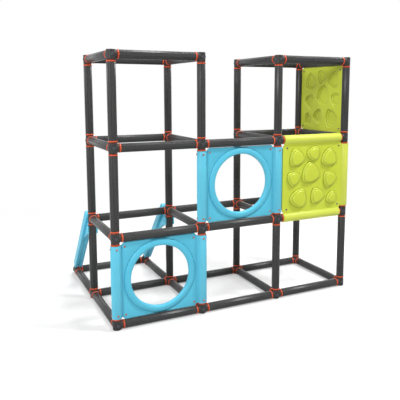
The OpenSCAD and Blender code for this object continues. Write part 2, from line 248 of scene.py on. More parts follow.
def extruded(outline, low, high, chamfer):
    """An outline in X and Y drawn out along Z, with softened ends."""
    middle = [Vector(p) for p in outline]
    count = len(middle)
    inset = []
    for n, p in enumerate(middle):
        edge = middle[(n + 1) % count] - middle[n - 1]
        inset.append(p + Vector((-edge.y, edge.x)).normalized() * chamfer)
    soft = [p.lerp(q, SOFT_SHARE) for p, q in zip(middle, inset)]
    step = SOFT_SHARE * chamfer
    layers = [
        (inset, low), (soft, low + step), (middle, low + chamfer),
        (middle, high - chamfer), (soft, high - step), (inset, high),
    ]
    points = [(p.x, p.y, z) for loop, z in layers for p in loop]
    return points, strips(len(layers), count, capped=True)


def piece(name, mesh, materials, slot, *nodes):
    """Places a mesh as a piece that stands for its CAD nodes."""
    placed = bpy.data.objects.new(name, mesh)
    bpy.context.scene.collection.objects.link(placed)
    for material in materials:
        mesh.materials.append(material)
    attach(placed, "root")
    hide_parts(*nodes)


# Effects that the materials share
def effect(name, inputs, outputs):
    """An empty shader node group with named sockets, and its two ends."""
    group = bpy.data.node_groups.new(name, "ShaderNodeTree")
    for label, value in inputs.items():
        group.interface.new_socket(label, in_out="INPUT", socket_type="NodeSocketFloat").default_value = value
    for label in outputs:
        group.interface.new_socket(label, in_out="OUTPUT", socket_type="NodeSocketFloat")
    return group, group.nodes.new("NodeGroupInput"), group.nodes.new("NodeGroupOutput")


def math_node(tree, operation, first, second=None, clamp=False):
    """A Math node fed by sockets or plain numbers, as its output."""
    made = tree.nodes.new("ShaderNodeMath")
    made.operation, made.use_clamp = operation, clamp
    for socket, value in zip(made.inputs, (first, second)):
        if isinstance(value, bpy.types.NodeSocket):
            tree.links.new(value, socket)
        elif value is not None:
            socket.default_value = value
    return made.outputs[0]


def noise(tree, coordinates, scale, detail, roughness=0.55):
    """A noise texture over the coordinates, its scale a socket or a plain number."""
    made = tree.nodes.new("ShaderNodeTexNoise")
    made.inputs["Detail"].default_value, made.inputs["Roughness"].default_value = detail, roughness
    tree.links.new(coordinates, made.inputs["Vector"])
    if isinstance(scale, bpy.types.NodeSocket):
        tree.links.new(scale, made.inputs["Scale"])
    else:
        made.inputs["Scale"].default_value = scale
    return made.outputs["Fac"]


def remap(tree, value, low, high):
    """A value's place between two limits, from 0 to 1."""
    made = tree.nodes.new("ShaderNodeMapRange")
    made.inputs["From Min"].default_value, made.inputs["From Max"].default_value = low, high
    tree.links.new(value, made.inputs["Value"])
    return made.outputs["Result"]


def mould_grain():
    """Fine pebbled skin of a moulded plastic, with a slow mottle under it."""
    scales = {"Grain Scale": 900.0, "Mottle Scale": 9.0}
    group, given, out = effect("mould_grain", scales, ("Height", "Mottle"))
    place = group.nodes.new("ShaderNodeTexCoord").outputs["Object"]
    fine = noise(group, place, given.outputs["Grain Scale"], detail=2.0)
    slow = noise(group, place, given.outputs["Mottle Scale"], detail=4.0, roughness=0.6)
    group.links.new(fine, out.inputs["Height"])
    group.links.new(remap(group, slow, 0.3, 0.7), out.inputs["Mottle"])
    return group


PATCH_SCALE = 6.0


def handling_scuffs():
    """Sparse short rubs that dull the surface a little."""
    group, given, out = effect("handling_scuffs", {"Scuff Scale": 26.0}, ("Scuff",))
    place = group.nodes.new("ShaderNodeTexCoord").outputs["Object"]
    bend = group.nodes.new("ShaderNodeMapping")
    bend.inputs["Rotation"].default_value = (0.5, 0.3, 0.8)
    bend.inputs["Scale"].default_value = (1.0, 5.0, 2.2)
    group.links.new(place, bend.inputs["Vector"])
    strokes = noise(group, bend.outputs["Vector"], given.outputs["Scuff Scale"], detail=5.0, roughness=0.7)
    rub = remap(group, strokes, 0.6, 0.72)
    patch = remap(group, noise(group, place, PATCH_SCALE, detail=2.0), 0.45, 0.62)
    group.links.new(math_node(group, "MULTIPLY", rub, patch, clamp=True), out.inputs["Scuff"])
    return group


def painted_edge_light_and_crease_shade():
    """Painted highlight on edges and crests, and painted shade in creases, by the surface's bend."""
    group, _, out = effect("painted_edge_light_and_crease_shade", {}, ("Edge", "Crease"))
    bend = group.nodes.new("ShaderNodeNewGeometry").outputs["Pointiness"]
    group.links.new(remap(group, bend, 0.52, 0.62), out.inputs["Edge"])
    group.links.new(remap(group, bend, 0.495, 0.445), out.inputs["Crease"])
    return group


def drawn_streaks():
    """Lengthwise lines of a drawn tube, from the tube's own round and along coordinates."""
    group, given, out = effect("drawn_streaks", {"Streak Scale": 0.9}, ("Streak", "Height"))
    run = group.nodes.new("ShaderNodeAttribute")
    run.attribute_name = "run"
    stretch = group.nodes.new("ShaderNodeMapping")
    stretch.inputs["Scale"].default_value = (1.0, 0.006, 3.7)
    group.links.new(run.outputs["Vector"], stretch.inputs["Vector"])
    scale = given.outputs["Streak Scale"]
    streak = noise(group, stretch.outputs["Vector"], scale, detail=4.0, roughness=0.65)
    group.links.new(remap(group, streak, 0.3, 0.7), out.inputs["Streak"])
    group.links.new(streak, out.inputs["Height"])
    return group


MOULD_GRAIN = mould_grain()
HANDLING_SCUFFS = handling_scuffs()
# Painted highlight on edges and painted shade in creases, shared by every plastic.
PAINTED_EDGE_LIGHT_AND_CREASE_SHADE = painted_edge_light_and_crease_shade()
DRAWN_STREAKS = drawn_streaks()


def shared(tree, group, **values):
    """A shared effect placed in a material, with values for its inputs."""
    made = tree.nodes.new("ShaderNodeGroup")
    made.node_tree = group
    for label, value in values.items():
        made.inputs[label.replace("_", " ")].default_value = value
    return made


def linear(code):
    """A colour written as six hex digits, in linear light."""
    parts = [int(code[n:n + 2], 16) / 255 for n in (0, 2, 4)]
    return (*[p / 12.92 if p <= 0.04045 else ((p + 0.055) / 1.055) ** 2.4 for p in parts], 1.0)


def blended(tree, mask, first, second):
    """A colour that goes from the first to the second by a mask."""
    made = tree.nodes.new("ShaderNodeMix")
    made.data_type = "RGBA"
    tree.links.new(mask, made.inputs["Factor"])
    colours = [s for s in made.inputs if s.type == "RGBA"]
    for socket, value in zip(colours, (first, second)):
        if isinstance(value, bpy.types.NodeSocket):
            tree.links.new(value, socket)
        else:
            socket.default_value = value
    return next(s for s in made.outputs if s.type == "RGBA")


# Shares of the edge tone in drawn streaks, scuff wear and the painted edge highlight.
STREAK_SHARE, WORN_SHARE, EDGE_HIGHLIGHT_SHARE = 0.55, 0.3, 0.6
SCUFF_DULLS, MOTTLE_DULLS = 0.18, 0.08


def plastic(
    name, face, shade, edge, crease_shade,
    gloss=0.42, shine=0.25, grain=900.0, grain_depth=0.00004, mottle=9.0, drawn=False,
):
    """A moulded or drawn plastic: its face colour, a second tone that mottles it, a lighter one painted
    on its edges as highlight, also used by scuffs and streaks, and a darker one as painted crease shade."""
    made = bpy.data.materials.new(name)
    made.use_nodes = True
    tree = made.node_tree
    surface = tree.nodes["Principled BSDF"]
    surface.inputs["Specular IOR Level"].default_value = shine
    skin = shared(tree, MOULD_GRAIN, Grain_Scale=grain, Mottle_Scale=mottle)
    scuffs = shared(tree, HANDLING_SCUFFS)
    painted_light_masks = shared(tree, PAINTED_EDGE_LIGHT_AND_CREASE_SHADE)
    tone = blended(tree, skin.outputs["Mottle"], linear(face), linear(shade))
    height = skin.outputs["Height"]
    if drawn:
        streaks = shared(tree, DRAWN_STREAKS)
        faint = math_node(tree, "MULTIPLY", streaks.outputs["Streak"], STREAK_SHARE)
        tone = blended(tree, faint, tone, linear(edge))
        height = math_node(tree, "ADD", height, streaks.outputs["Height"])
    worn = math_node(tree, "MULTIPLY", scuffs.outputs["Scuff"], WORN_SHARE)
    tone = blended(tree, worn, tone, linear(edge))
    # Edges and crests take the edge tone as painted highlight, creases the crease tone as painted shade.
    edge_highlight = math_node(tree, "MULTIPLY", painted_light_masks.outputs["Edge"], EDGE_HIGHLIGHT_SHARE)
    tone = blended(tree, edge_highlight, tone, linear(edge))
    tree.links.new(blended(tree, painted_light_masks.outputs["Crease"], tone, linear(crease_shade)), surface.inputs["Base Color"])
    dull = math_node(tree, "MULTIPLY", scuffs.outputs["Scuff"], SCUFF_DULLS)
    uneven = math_node(tree, "MULTIPLY", skin.outputs["Mottle"], MOTTLE_DULLS)
    rough = math_node(tree, "ADD", math_node(tree, "ADD", dull, uneven), gloss)
    tree.links.new(rough, surface.inputs["Roughness"])
    bump = tree.nodes.new("ShaderNodeBump")
    bump.inputs["Distance"].default_value = grain_depth
    tree.links.new(height, bump.inputs["Height"])
    tree.links.new(bump.outputs["Normal"], surface.inputs["Normal"])
    return made


PANEL_SKIN = {"gloss": 0.36, "shine": 0.28, "grain": 600.0, "mottle": 5.0}
SCREW_SKIN = {"gloss": 0.34, "grain": 1500.0}
# Each plastic's last two colours: a painted highlight for its edges and a painted shade for its creases.
TUBE_CHARCOAL = plastic(
    "tube_charcoal", "262626", "2b2b2b", "565656", "0a0a0a",
    gloss=0.25, shine=0.13, grain_depth=0.00003, drawn=True,
)
CONNECTOR_GREY = plastic(
    "connector_grey", "373737", "313131", "505050", "1a1a1a", gloss=0.4, shine=0.2, grain=700.0,
)
CONNECTOR_DOT = plastic("connector_dot", "434549", "3e4044", "606266", "202022", gloss=0.36)
RING_ORANGE = plastic("ring_orange", "dc5a34", "d04e2a", "ea7650", "8a2c16", gloss=0.4)
# The collar's deeper orange-brown is painted shade beside the connector.
RING_COLLAR_SHADE = plastic("ring_collar_shade", "743222", "6a2c1e", "8e4430", "401a10", gloss=0.45)
PANEL_BLUE = plastic("panel_blue", "58bbd5", "52b5d1", "80d0e3", "307e9a", **PANEL_SKIN)
BRACE_BLUE = plastic(
    "brace_blue", "5cc2de", "56bada", "84d6ea", "3a93b2", gloss=0.38, grain=600.0, mottle=7.0,
)
PANEL_GREEN = plastic("panel_green", "c6d241", "bfcb3b", "eeee92", "727f1a", **PANEL_SKIN)
SCREW_ORANGE = plastic("screw_orange", "b4705c", "a66450", "d0a090", "5c3226", **SCREW_SKIN)
SCREW_GREY = plastic("screw_grey", "5c5464", "4c4656", "8c8694", "2a2630", **SCREW_SKIN)


# Tubes
def tube_section():
    """The tube's outline by angle and radius: flats that run into round corners with a fine groove each."""
    flat_edge = math.degrees(math.acos(TUBE_FLAT_R / TUBE_R))
    side_turn, margin = 360 / TUBE_FLATS, 3
    section = []
    for side in range(TUBE_FLATS):
        for a in (-flat_edge, margin - flat_edge, 0, flat_edge - margin, flat_edge):
            section.append((side_turn * side + a, TUBE_FLAT_R / math.cos(math.radians(a))))
        for a, dip in ((-TUBE_GROOVE_TURN, 0.0), (0, TUBE_GROOVE_D), (TUBE_GROOVE_TURN, 0.0)):
            section.append((side_turn * (side + 0.5) + a, TUBE_R - dip))
    return [(math.radians(a), r) for a, r in section]


TUBE_SECTION = tube_section()


def add_tube(moulding, start, direction, length):
    """One hollow tube with eased ends. A layer is a height and how far it lies inside the section, or None
    in the bore."""
    part_way = TUBE_CHAMFER_BEND * TUBE_CHAMFER
    near = [(0, None), (0, TUBE_CHAMFER), (part_way, part_way), (TUBE_CHAMFER, 0)]
    layers = near + [(length - z, ease) for z, ease in reversed(near)]
    points, runs = [], []
    for z, ease in layers:
        for a, r in TUBE_SECTION:
            r = TUBE_BORE_R if ease is None else r - ease
            points.append((r * math.cos(a), r * math.sin(a), z))
            runs.append((a * TUBE_R, z))
    place = Matrix.Translation(start) @ towards(direction)
    moulding.add(points, strips(len(layers), len(TUBE_SECTION), joined=True), place, runs)


def post(i, j):
    tubes = Moulding()
    for k in range(TOP_LEVEL):
        add_tube(tubes, grid(i, j, k) + Vector((0, 0, TUBE_START)), (0, 0, 1), PITCH_Z - 2 * TUBE_START)
    return tubes


def beam(j, k):
    tubes = Moulding()
    for i in range(LAST_COLUMN):
        if is_beam(i, j, k):
            add_tube(tubes, grid(i, j, k) + Vector((TUBE_START, 0, 0)), (1, 0, 0), PITCH_X - 2 * TUBE_START)
    return tubes


def cross_tubes(k):
    tubes = Moulding()
    for i in range(LAST_COLUMN + 1):
        for j in range(BACK_ROW + 1):
            if is_cross(i, j, k):
                start = grid(i, j, k) + Vector((0, TUBE_START, 0))
                far = BRACE_START if j == BACK_ROW else TUBE_START
                add_tube(tubes, start, (0, 1, 0), PITCH_Y - TUBE_START - far)
    return tubes


def make_tubes():
    for row, j in (("front", 0), ("back", BACK_ROW)):
        for i in range(LAST_COLUMN + 1):
            name = f"{row}_post_{i + 1}"
            piece(name + "_tubes", post(i, j).mesh(name), [TUBE_CHARCOAL], "tube_charcoal", name)
    for level, k in LEVELS:
        for row, j in (("front", 0), ("back", BACK_ROW), ("rear", REAR_ROW)):
            name = f"{level}_beam_{row}"
            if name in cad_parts:
                piece(name + "_tubes", beam(j, k).mesh(name), [TUBE_CHARCOAL], "tube_charcoal", name)
        name = f"{level}_cross_tubes"
        piece(name + "_drawn", cross_tubes(k).mesh(name), [TUBE_CHARCOAL], "tube_charcoal", name)


# Connectors
HUB_VOXEL = 1.7 * MM
HUB_SMOOTHING, HUB_EASE = 6, 0.5
ARM_SIDES, PAD_SIDES, SPIGOT_SIDES, DOT_SIDES = 48, 40, 32, 28


def largest_part(points, faces):
    """The largest connected part of a mesh, without small voids left inside where arms grew together."""
    part = list(range(len(points)))

    def root_of(n):
        while part[n] != n:
            part[n] = part[part[n]]
            n = part[n]
        return n

    for face in faces:
        for n in face[1:]:
            part[root_of(n)] = root_of(face[0])
    roots = [root_of(face[0]) for face in faces]
    main = max(set(roots), key=roots.count)
    kept = [n for n in range(len(points)) if root_of(n) == main]
    order = {n: m for m, n in enumerate(kept)}
    return [points[n] for n in kept], [[order[n] for n in f] for f, r in zip(faces, roots) if r == main]


def add_rod(form, radius, length, sides, place):
    """A round rod, scaled to metres and centred on its place."""
    radius, length = radius * MM, length * MM
    bmesh.ops.create_cone(
        form, cap_ends=True, segments=sides, radius1=radius, radius2=radius, depth=length, matrix=place,
    )


def grown_together(form):
    """Crossing rods under one smoothed skin, as points and faces in millimetres."""
    mesh = bpy.data.meshes.new("hub_form")
    form.to_mesh(mesh)
    hub = bpy.data.objects.new("hub_form", mesh)
    bpy.context.scene.collection.objects.link(hub)
    remesh = hub.modifiers.new("grow", "REMESH")
    remesh.mode, remesh.voxel_size = "VOXEL", HUB_VOXEL
    smooth = hub.modifiers.new("ease", "SMOOTH")
    smooth.factor, smooth.iterations = HUB_EASE, HUB_SMOOTHING
    bpy.context.view_layer.update()
    skin = hub.evaluated_get(bpy.context.evaluated_depsgraph_get()).to_mesh()
    points = [v.co / MM for v in skin.vertices]
    faces = [tuple(p.vertices) for p in skin.polygons]
    bpy.data.objects.remove(hub)
    bpy.data.meshes.remove(mesh)
    return largest_part(points, faces)


def hub_body(arms, padded, brace):
    """One connector's arms, grown together and smoothed as a moulding is. Arms are (direction, length).
    The upright, or the level line of a foot that a brace leaves, runs through and is capped where it has
    no arm."""
    placed = [(towards(d), length) for d, length in arms]
    if brace:
        placed.append((along_brace(), BRACE_ARM_LEN))
    used = [tuple(d) for d, _ in arms]
    through = ((0, 1, 0), (0, -1, 0)) if brace else ((0, 0, 1), (0, 0, -1))
    placed += [(towards(d), CORE_HALF) for d in through if d not in used]
    form = bmesh.new()
    for turn, length in placed:
        add_rod(form, TUBE_R, length, ARM_SIDES, turn @ Matrix.Translation((0, 0, length / 2 * MM)))
    if padded:
        add_rod(form, PAD_R, FOOT_H, PAD_SIDES, Matrix.Translation((0, 0, -FOOT_H / 2 * MM)))
    points, faces = grown_together(form)
    form.free()
    return points, faces


def spigot(length):
    """The hollow spigot that goes on from an arm into its tube."""
    end = length + RING_W + SPIGOT_DEPTH
    inner = SPIGOT_R - SPIGOT_WALL
    start = length - SPIGOT_ROOT
    profile = [(inner, start), (SPIGOT_R, start), (SPIGOT_R, end - 1.5), (SPIGOT_R - 1, end), (inner, end)]
    return turned(profile, SPIGOT_SIDES)


def face_dot():
    """The raised dot on a bare face, with a small dimple from its mould."""
    low = CORE_HALF - DOT_ROOT
    top = CORE_HALF + DOT_H
    profile = [
        (DOT_R, low), (DOT_R, top - 0.6), (DOT_R - 0.25, top - 0.15), (DOT_R - 0.7, top),
        (2.2, top), (1.9, top - 0.1), (1.5, top - 0.5), (0.6, top - 0.6),
    ]
    return domed(profile, DOT_SIDES)


HUB_FORMS = {}


def make_connectors(name, places):
    """Connectors as one piece."""
    bodies, dots = Moulding(), Moulding()
    for i, j, k in places:
        arms = [(d, arm_length(j, d)) for d in DIRECTIONS if has_arm(i, j, k, d)]
        brace = j == REAR_ROW
        kind = (tuple((tuple(d), length) for d, length in arms), k == 0, brace)
        if kind not in HUB_FORMS:
            HUB_FORMS[kind] = hub_body(arms, k == 0, brace)
        at = Matrix.Translation(grid(i, j, k))
        bodies.add(*HUB_FORMS[kind], at)
        for d, length in arms:
            bodies.add(*spigot(length), at @ towards(d))
        if brace:
            bodies.add(*spigot(BRACE_ARM_LEN), at @ along_brace())
        used = [tuple(d) for d, _ in arms] + ([(0, 0, -1)] if k == 0 else []) + ([(0, 0, 1)] if brace else [])
        for d in DIRECTIONS:
            if tuple(d) not in used:
                dots.add(*face_dot(), at @ towards(d))
    body_faces = len(bodies.faces)
    bodies.add(dots.points, dots.faces)
    mesh = bodies.mesh(name, sharp=50)
    piece(name + "_moulded", mesh, [CONNECTOR_GREY, CONNECTOR_DOT], "connector_grey", name)
    for polygon in mesh.polygons[body_faces:]:
        polygon.material_index = 1


# Locking rings
def ring_form():
    """One ring: a low collar beside the connector, then the raised rounded band beside the tube."""
    low, top, edge = RING_R - COLLAR_DROP, RING_R, COLLAR_W
    profile = [
        (TUBE_BORE_R, 0.2), (low - 0.6, 0.0), (low, 0.5), (low, edge - 0.3), (low + 0.3, edge),
        (top - 0.7, edge + 0.1), (top - 0.2, edge + 0.4), (top, edge + 1.0), (top, RING_W - 1.2),
        (top - 0.3, RING_W - 0.5), (top - 1.0, RING_W), (TUBE_BORE_R, RING_W - 0.2),
    ]
    return turned(profile, RING_SIDES)


RING_FORM = ring_form()
COLLAR_BANDS = 4


def place_rings(name, rings):
    """Rings as one piece, with their low collars painted darker as shade."""
    mesh = rings.mesh(name)
    for n, polygon in enumerate(mesh.polygons):
        # The collar faces take the darker material as painted shade.
        polygon.material_index = int(n % len(RING_FORM[1]) < COLLAR_BANDS * RING_SIDES)
    piece(name + "_moulded", mesh, [RING_ORANGE, RING_COLLAR_SHADE], "ring_orange", name)


def make_rings(name, axis):
    """The rings on every tube end that lies along one axis."""
    rings = Moulding()
    for k in range(TOP_LEVEL + 1):
        rows = range((REAR_ROW if k == 0 else BACK_ROW) + 1)
        for i, j, _ in connectors_of(k, rows):
            for d in DIRECTIONS:
                if d[axis] and has_arm(i, j, k, d):
                    seat = Matrix.Translation((0, 0, arm_length(j, d)))
                    rings.add(*RING_FORM, Matrix.Translation(grid(i, j, k)) @ towards(d) @ seat)
    place_rings(name, rings)


def make_brace_rings():
    rings = Moulding()
    for i in BRACE_COLUMNS:
        seat = Matrix.Translation((0, 0, BRACE_ARM_LEN))
        rings.add(*RING_FORM, Matrix.Translation(grid(i, REAR_ROW, 0)) @ along_brace() @ seat)
    place_rings("brace_rings", rings)


# Panels are drawn with across as X, up as Y and out of the panel as Z, then stood up in their cell
STAND_UP = Matrix.Rotation(math.pi / 2, 4, "X")


def wrap_section(plate_front, plate_back, plate_reach):
    """Half-round wrap around a tube at the origin, with a fillet that runs out on the plate towards +X."""
    lift = plate_front + WRAP_FILLET
    touch = math.degrees(math.asin(lift / (WRAP_R + WRAP_FILLET)))
    run_out = math.sqrt((WRAP_R + WRAP_FILLET) ** 2 - lift ** 2)
    outer = arc((0, 0), WRAP_R, 180, touch, steps=26)
    fillet = arc((run_out, lift), WRAP_FILLET, 180 + touch, 270, steps=10)[1:-1]
    tail = [
        (run_out, plate_front - WRAP_SUNK), (plate_reach, plate_front - WRAP_TAIL_IN),
        (plate_reach, plate_back + WRAP_TAIL_IN),
    ]
    inside = math.degrees(math.asin((plate_back + WRAP_TAIL_IN) / WRAP_IN_R))
    inner = arc((0, 0), WRAP_IN_R, max(inside, 0), 180, steps=24)
    lip = arc((-(WRAP_R + WRAP_IN_R) / 2, 0), (WRAP_R - WRAP_IN_R) / 2, 0, -180, steps=6)[1:-1]
    return list(reversed(outer + fillet + tail + inner + lip))


def outline_points(outline, spacing):
    """Points along a closed outline, no further apart than the spacing."""
    points = []
    for n, p in enumerate(outline):
        q = outline[(n + 1) % len(outline)]
        steps = max(1, math.ceil(math.dist(p, q) / spacing))
        for s in range(steps):
            points.append((p[0] + (q[0] - p[0]) * s / steps, p[1] + (q[1] - p[1]) * s / steps))
    return points


def rim_loops():
    """Loops around the hole as (radius, height): the collar behind, the hole's wall, the bead in front and
    the crease at its foot."""
    half = CRAWL_T / 2
    bead = []
    for a in np.linspace(RIM_FLANK, 1 - RIM_FLANK, RIM_LOOPS) * math.pi:
        across = (1 - math.cos(a)) / 2
        rise = math.sin(math.pi * across ** RIM_LEAN) ** RIM_CROWN
        bead.append((HOLE_R + RIM_W * across, half + RIM_H * rise))
    collar = HOLE_R + RIM_W / 2
    behind = -half - RIM_BACK
    foot = HOLE_R + RIM_W
    return [
        (collar + 3.0, -half), (collar + 0.8, -half - 0.6), (collar, -half - 2.0), (collar, behind + 1.2),
        (collar - 0.5, behind + 0.3), (collar - 1.5, behind), (HOLE_R + 2, behind),
        (HOLE_R + 0.7, behind + 0.4), (HOLE_R, behind + 1.5), (HOLE_R, half), *bead,
        (foot + 0.2, half + 0.6), (foot + 0.6, half - 0.4), (foot + 1.2, half - 0.7),
        (foot + 1.8, half - 0.4), (foot + RIM_CREASE_W, half),
    ]


def edge_loops():
    """Loops from the rim out over the field's edge as (share of the way out, inset, height)."""
    half = CRAWL_T / 2
    front = [
        (0.5, 0.0, half), (1.0, 5.0, half), (1.0, 2.0, half - 0.15), (1.0, 0.7, half - 0.8),
        (1.0, 0.0, half - 2.0),
    ]
    return front + [(share, inset, -z) for share, inset, z in reversed(front)]


def crawl_plate():
    """The field with its round hole, the bead that stands around the hole and the collar behind it."""
    side, up, cut = PITCH_X / 2 - WRAP_JOINT, PITCH_Z / 2 - FIELD_EDGE, CORNER_CUT
    corners = [
        (side - cut, -up), (side, -up + cut), (side, up - cut), (side - cut, up),
        (-side + cut, up), (-side, up - cut), (-side, -up + cut), (-side + cut, -up),
    ]
    outline = outline_points(rounded(corners, CORNER_R), EDGE_SPACING)[::-1]
    reaches = [math.hypot(x, y) for x, y in outline]
    rays = [(x / far, y / far, far) for (x, y), far in zip(outline, reaches)]
    rim, edge = rim_loops(), edge_loops()
    rim_end = rim[-1][0]
    points = [(x * r, y * r, z) for r, z in rim for x, y, _ in rays]
    for share, inset, z in edge:
        for x, y, far in rays:
            reach = rim_end * (1 - share) + (far - inset) * share
            points.append((x * reach, y * reach, z))
    return points, strips(len(rim) + len(edge), len(rays), joined=True)


def laid(towards_plate, at):
    """Places a wrap's section at a point of the panel: X towards the plate, Y out of the panel."""
    along, out = Vector(towards_plate), Vector((0, 0, 1))
    turn = Matrix((along, out, along.cross(out))).transposed().to_4x4()
    return Matrix.Translation(at) @ turn


def cell_place(i, k):
    """The middle of a front cell, with a panel's own axes stood up in it."""
    return Matrix.Translation(grid(i, 0, k) + Vector((PITCH_X / 2, 0, PITCH_Z / 2))) @ STAND_UP


def side_place(k):
    """The middle of a cell in the right side, facing right."""
    middle = grid(LAST_COLUMN, 0, k) + Vector((0, PITCH_Y / 2, PITCH_Z / 2))
    return Matrix.Translation(middle) @ Matrix.Rotation(math.pi / 2, 4, "Z") @ STAND_UP


def make_crawl_panel(name, place):
    panel = Moulding()
    panel.add(*crawl_plate(), place)
    upright = PITCH_Z / 2 - WRAP_START
    wrap = extruded(wrap_section(CRAWL_T / 2, -CRAWL_T / 2, CRAWL_TAIL), -upright, upright, PANEL_EASE)
    for side in (-1, 1):
        panel.add(*wrap, place @ laid((-side, 0, 0), (side * PITCH_X / 2, 0, 0)))
    piece(name + "_moulded", panel.mesh(name), [PANEL_BLUE], "panel_blue", name)


# Climbing panels
SHEET_CELL, SHEET_STRIP, SHEET_CORNER = 2.0, 1.2, 20.0
HOLD_FLANK, HOLD_LEAD, HOLD_HOLLOW = 4.8, 0.12, 0.8
STEP_LOSS, CROWN_H, CROWN_RUN = 0.4, 0.8, 26.0
LIP_T, LIP_BACK, LIP_OVERLAP, LIP_CORNER_R = 3.0, 4.0, 1.0, 1.2


def eased(value):
    """A smooth step from 0 to 1."""
    value = np.clip(value, 0.0, 1.0)
    return value * value * (3 - 2 * value)


def hold_depth(x, y, hold, less):
    """How far points lie inside a hold's outline, which is three arcs that meet in blunt corners."""
    across, up, half, turn = hold
    half = half - less
    depth = np.full(x.shape, 1e9)
    for spoke in (0, 120, 240):
        a = math.radians(spoke - turn)
        off = HOLD_BULGE * half
        far = np.hypot(x - across - off * math.cos(a), y - up - off * math.sin(a))
        inside = (1 + HOLD_BULGE) * half - far
        depth = -np.logaddexp(-depth / HOLD_BLEND, -inside / HOLD_BLEND) * HOLD_BLEND
    return depth


def relief(x, y):
    """Height of the holds over the sheet: a step, then a gently crowned top."""
    height = np.zeros(x.shape)
    for hold in HOLDS:
        step = hold_depth(x, y, hold, 0.0)
        top = hold_depth(x, y, hold, STEP_W)
        height += (STEP_H - STEP_LOSS) * eased(step / HOLD_FLANK + HOLD_LEAD)
        height += (TOP_H - CROWN_H) * eased(top / HOLD_FLANK + HOLD_LEAD) + CROWN_H * eased(top / CROWN_RUN)
    return height


def spaced(low, high):
    """Grid lines across the sheet, with a narrow first and last strip for its eased edge."""
    inner = np.linspace(low + SHEET_STRIP, high - SHEET_STRIP, round((high - low) / SHEET_CELL))
    return np.concatenate([[low], inner, [high]])


def shell(x, y, front, back):
    """A closed shell over a grid of points, between the heights of its front and its back."""
    rows, columns = x.shape
    points = [*zip(x.ravel(), y.ravel(), front.ravel()), *zip(x.ravel(), y.ravel(), back.ravel())]
    behind = rows * columns
    faces = []
    for r in range(rows - 1):
        for c in range(columns - 1):
            a, b = r * columns + c, (r + 1) * columns + c
            faces.append((a, b, b + 1, a + 1))
            faces.append((behind + a + 1, behind + b + 1, behind + b, behind + a))
    numbers = np.arange(behind).reshape(rows, columns)
    sides = [numbers[0], numbers[1:, -1], numbers[-1, -2::-1], numbers[-2:0:-1, 0]]
    border = np.concatenate(sides).tolist()
    for a, b in zip(border, border[1:] + border[:1]):
        faces.append((a, b, behind + b, behind + a))
    return points, faces


def climbing_sheet(width):
    """The sheet with its holds, hollow behind them, with rounded corners."""
    left, right = WRAP_R + FREE_GAP - width / 2, width / 2 - WRAP_JOINT
    up = PITCH_Z / 2 - WRAP_JOINT
    x, y = np.meshgrid(spaced(left, right), spaced(-up, up), indexing="ij")
    middle, half = (left + right) / 2, (right - left) / 2
    u = np.clip((np.abs(x - middle) - half + SHEET_CORNER) / SHEET_CORNER, 0, 1)
    v = np.clip((np.abs(y) - up + SHEET_CORNER) / SHEET_CORNER, 0, 1)
    x = x + np.sign(x - middle) * SHEET_CORNER * (u * np.sqrt(1 - v * v / 2) - u)
    y = y + np.sign(y) * SHEET_CORNER * (v * np.sqrt(1 - u * u / 2) - v)
    height = relief(x, y)
    rim = np.ones(x.shape)
    rim[1:-1, 1:-1] = 0
    front = CLIMB_FORWARD + CLIMB_T + height - PANEL_EASE * rim
    back = CLIMB_FORWARD + HOLD_HOLLOW * height * (1 - rim) + PANEL_EASE * rim
    return shell(x, y, front, back)


def make_climbing_panel(name, place, width):
    panel = Moulding()
    panel.add(*climbing_sheet(width), place)
    section = wrap_section(CLIMB_FORWARD + CLIMB_T, CLIMB_FORWARD, CLIMB_TAIL)
    lip_top = CLIMB_FORWARD + LIP_OVERLAP
    lip = rounded([(0, -LIP_BACK), (LIP_T, -LIP_BACK), (LIP_T, lip_top), (0, lip_top)], LIP_CORNER_R)
    lip_up = PITCH_Z / 2 - WRAP_JOINT - SHEET_CORNER
    lip_at = (WRAP_R + FREE_GAP - width / 2, 0, 0)
    panel.add(*extruded(lip, -lip_up, lip_up, PANEL_EASE), place @ laid((1, 0, 0), lip_at))
    upright = PITCH_Z / 2 - WRAP_START
    level = width / 2 - WRAP_START
    panel.add(*extruded(section, -upright, upright, PANEL_EASE), place @ laid((-1, 0, 0), (width / 2, 0, 0)))
    for side in (-1, 1):
        at = (0, side * PITCH_Z / 2, 0)
        panel.add(*extruded(section, -level, level, PANEL_EASE), place @ laid((0, -side, 0), at))
    piece(name + "_moulded", panel.mesh(name), [PANEL_GREEN], "panel_green", name)


# Screws
def cross_outline():
    """The outline of a cross recess, by angle and radius."""
    tip = math.degrees(math.atan2(RECESS_HALF, RECESS_REACH))
    outline = []
    for quarter in range(4):
        for a in (-tip, 0, tip, 22, 32, 45, 58, 68):
            near = math.radians(min(abs(a), 90 - a))
            on_tip = near <= math.radians(tip) + 1e-8
            r = RECESS_REACH / math.cos(near) if on_tip else RECESS_HALF / math.sin(near)
            outline.append((math.radians(90 * quarter + a), r))
    return outline


def add_screw(moulding, place, length, nut_at=None):
    """A pan-head screw with a cross recess, its head seated on Z 0, and a nut on its tail if it has one."""
    recess = cross_outline()
    circle = [
        (HEAD_R, 0.0), (HEAD_R, 0.7), (HEAD_R - 0.25, 1.3), (HEAD_R - 0.9, 1.85), (HEAD_R - 1.7, HEAD_H),
    ]
    points = [(SHANK_R * math.cos(a), SHANK_R * math.sin(a), z) for z in (-length, -0.2) for a, _ in recess]
    points += [(r * math.cos(a), r * math.sin(a), z) for r, z in circle for a, _ in recess]
    points += [(r * math.cos(a), r * math.sin(a), HEAD_H) for a, r in recess]
    floor = [(a, RECESS_TAPER * r) for a, r in recess]
    points += [(r * math.cos(a), r * math.sin(a), HEAD_H - RECESS_D) for a, r in floor]
    moulding.add(points, strips(len(circle) + 4, len(recess), capped=True), place)
    if nut_at is not None:
        corner = NUT_W / 2 / math.cos(math.pi / NUT_SIDES)
        nut = [(corner, 0.0), (corner, -NUT_H + 0.5), (corner - 0.6, -NUT_H)]
        moulding.add(*domed([(r, z - nut_at) for r, z in reversed(nut)], NUT_SIDES), place)


